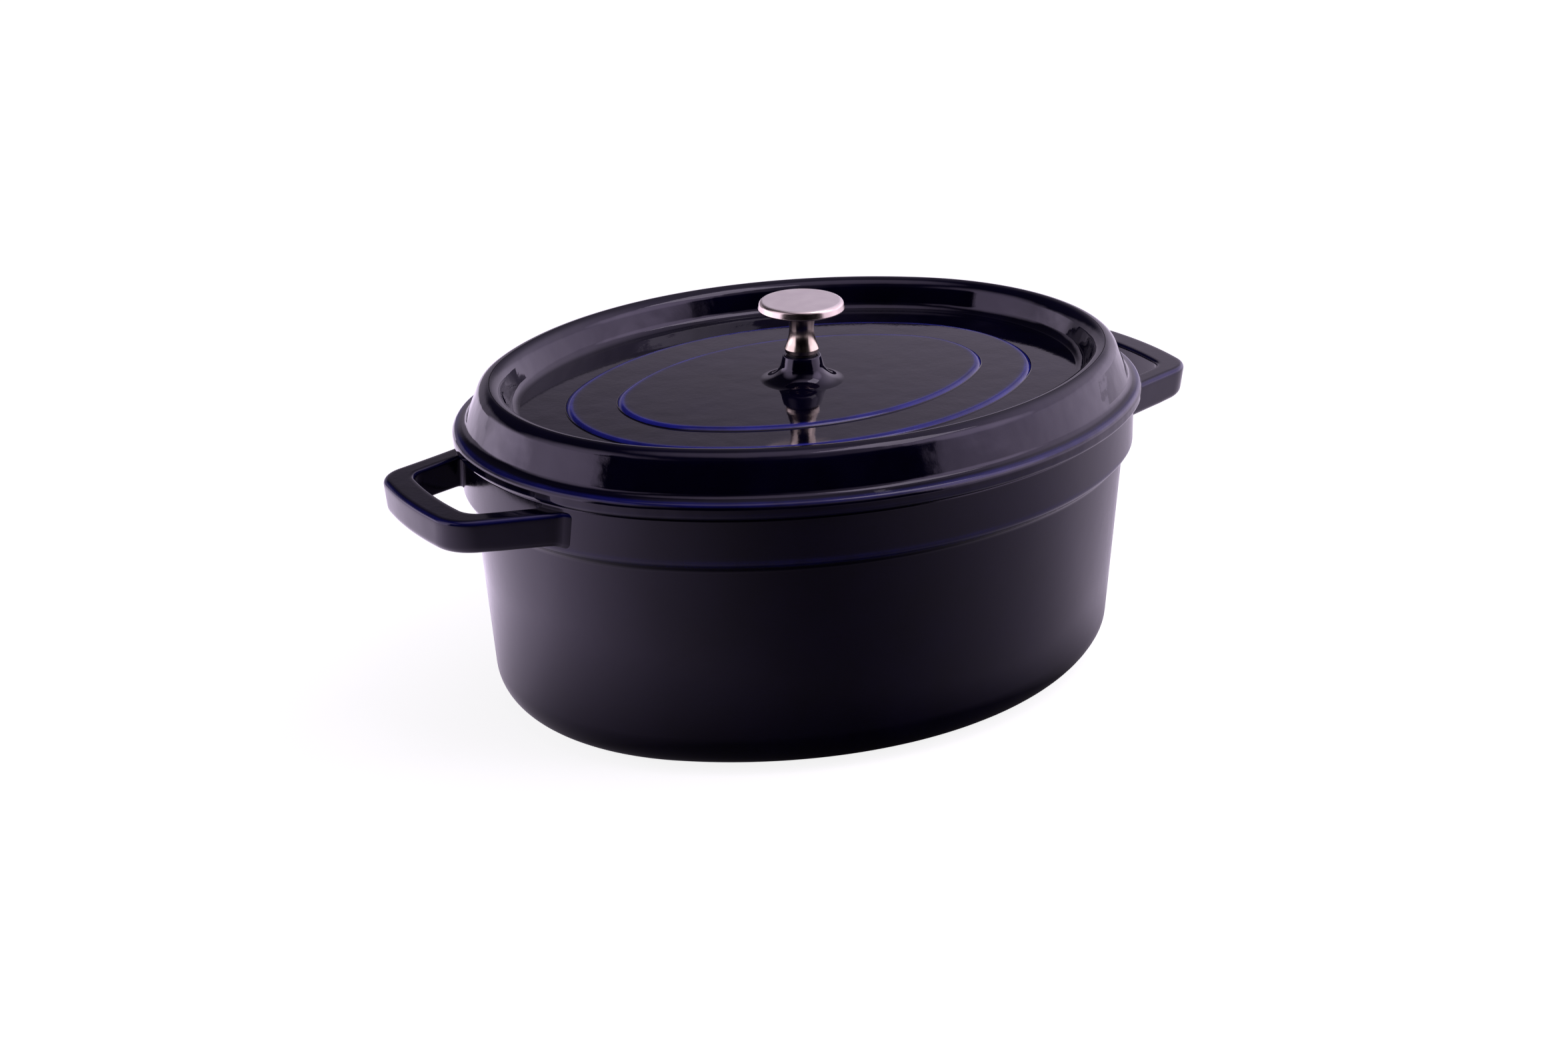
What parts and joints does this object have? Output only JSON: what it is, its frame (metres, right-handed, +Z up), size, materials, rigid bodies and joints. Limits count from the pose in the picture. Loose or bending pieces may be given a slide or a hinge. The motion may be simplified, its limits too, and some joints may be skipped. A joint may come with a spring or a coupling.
{
  "type": "dutch oven",
  "caption": "Oval enamelled cast iron dutch oven with loop handles on both ends, a lift-off lid with raised rings and a mushroom-shaped metal knob.",
  "frame": {"origin": "middle of the flat base, on the surface the pot stands on", "axes": "+X along the handles, +Y across the pot, +Z up through the knob"},
  "size_m": [0.3756, 0.2524, 0.1674],
  "materials": {
    "blue_enamel": "glossy translucent dark blue enamel over cast iron, thinner and bluer on raised edges",
    "black_enamel": "matt black enamel with a fine texture",
    "knob_metal": "satin cap with a polished waist and foot",
    "seat_rubber": "matt black",
    "screw_steel": "plain bright steel"
  },
  "bodies": {
    "pot": {"pot_body": "blue_enamel", "left_handle": "blue_enamel", "right_handle": "blue_enamel", "pot_lining": "black_enamel"},
    "lid": {"lid_body": "blue_enamel", "lid_lining": "black_enamel", "knob": "knob_metal", "knob_seat": "seat_rubber", "knob_screw": "screw_steel", "screw_washer": "screw_steel"}
  },
  "joints": [
    {"name": "lid_lift", "type": "slide", "parent": "pot", "child": "lid", "axis": [0, 0, 1], "range_m": [0, 0.16]}
  ]
}
